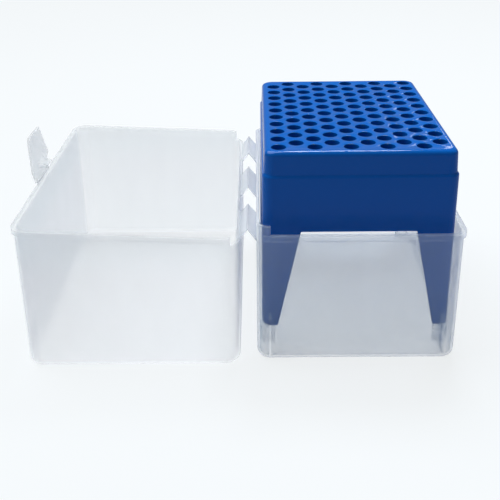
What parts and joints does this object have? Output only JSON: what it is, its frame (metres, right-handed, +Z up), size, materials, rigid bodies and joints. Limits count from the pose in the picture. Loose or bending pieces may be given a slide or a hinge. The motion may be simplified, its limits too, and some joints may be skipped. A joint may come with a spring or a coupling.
{
  "type": "pipette tip box",
  "caption": "Hinged frosted plastic box with a deep lid, strap hinges and a latch tab, holding a blue perforated rack for pipette tips on legs.",
  "frame": {"origin": "centre of the base's underside, on the surface that the box stands on", "axes": "+Z up, +X from the hinge towards the base's catch, so the open lid lies on the -X side; +Y along the hinge line, away from the side the box is seen from"},
  "size_m": [0.2324, 0.1598, 0.1134],
  "materials": {
    "frosted_shell": "frosted, translucent",
    "blue_rack": "glossy moulded"
  },
  "bodies": {
    "base": {"base_box": "frosted_shell", "rack_frame": "blue_rack", "hole_plate": "blue_rack"},
    "lid": {"lid": "frosted_shell"},
    "latch_tab": {"latch_tab": "frosted_shell"}
  },
  "joints": [
    {"name": "lid_hinge", "type": "hinge", "parent": "base", "child": "lid", "pos_m": [-0.05625, 0, 0.0743], "axis": [0, 1, 0], "range_deg": [0, 180]},
    {"name": "latch_flex", "type": "hinge", "parent": "lid", "child": "latch_tab", "pos_m": [-0.17235, -0.007, 0.0804], "axis": [0, 1, 0], "range_deg": [-30, 7], "stiffness_Nm_per_rad": 0.02}
  ]
}
